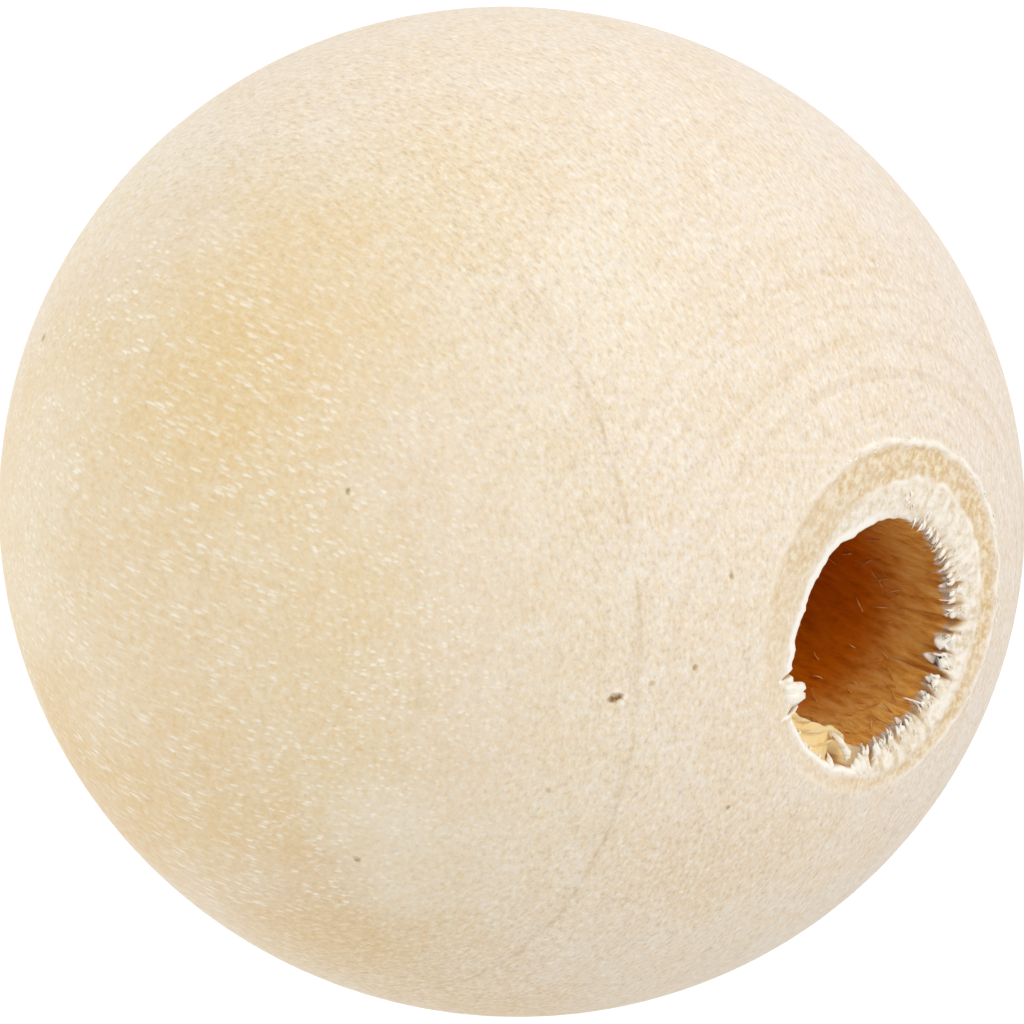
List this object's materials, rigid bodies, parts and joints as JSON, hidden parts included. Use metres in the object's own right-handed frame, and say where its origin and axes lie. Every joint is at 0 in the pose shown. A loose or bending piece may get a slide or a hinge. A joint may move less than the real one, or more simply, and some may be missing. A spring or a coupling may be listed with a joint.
{
  "type": "drilled wooden ball",
  "caption": "Turned wooden ball drilled through along the grain, with both mouths faced flat and torn fibres round one rim.",
  "frame": {"origin": "middle of the ball, on the bore's axis", "axes": "+Z along the bore towards the mouth with the torn rim, +Y towards the torn side of that rim"},
  "size_m": [0.02, 0.02, 0.0195],
  "materials": {
    "wood": "turned and tumbled pale hardwood, unfinished"
  },
  "bodies": {
    "root": {"ball": "wood"}
  },
  "joints": []
}
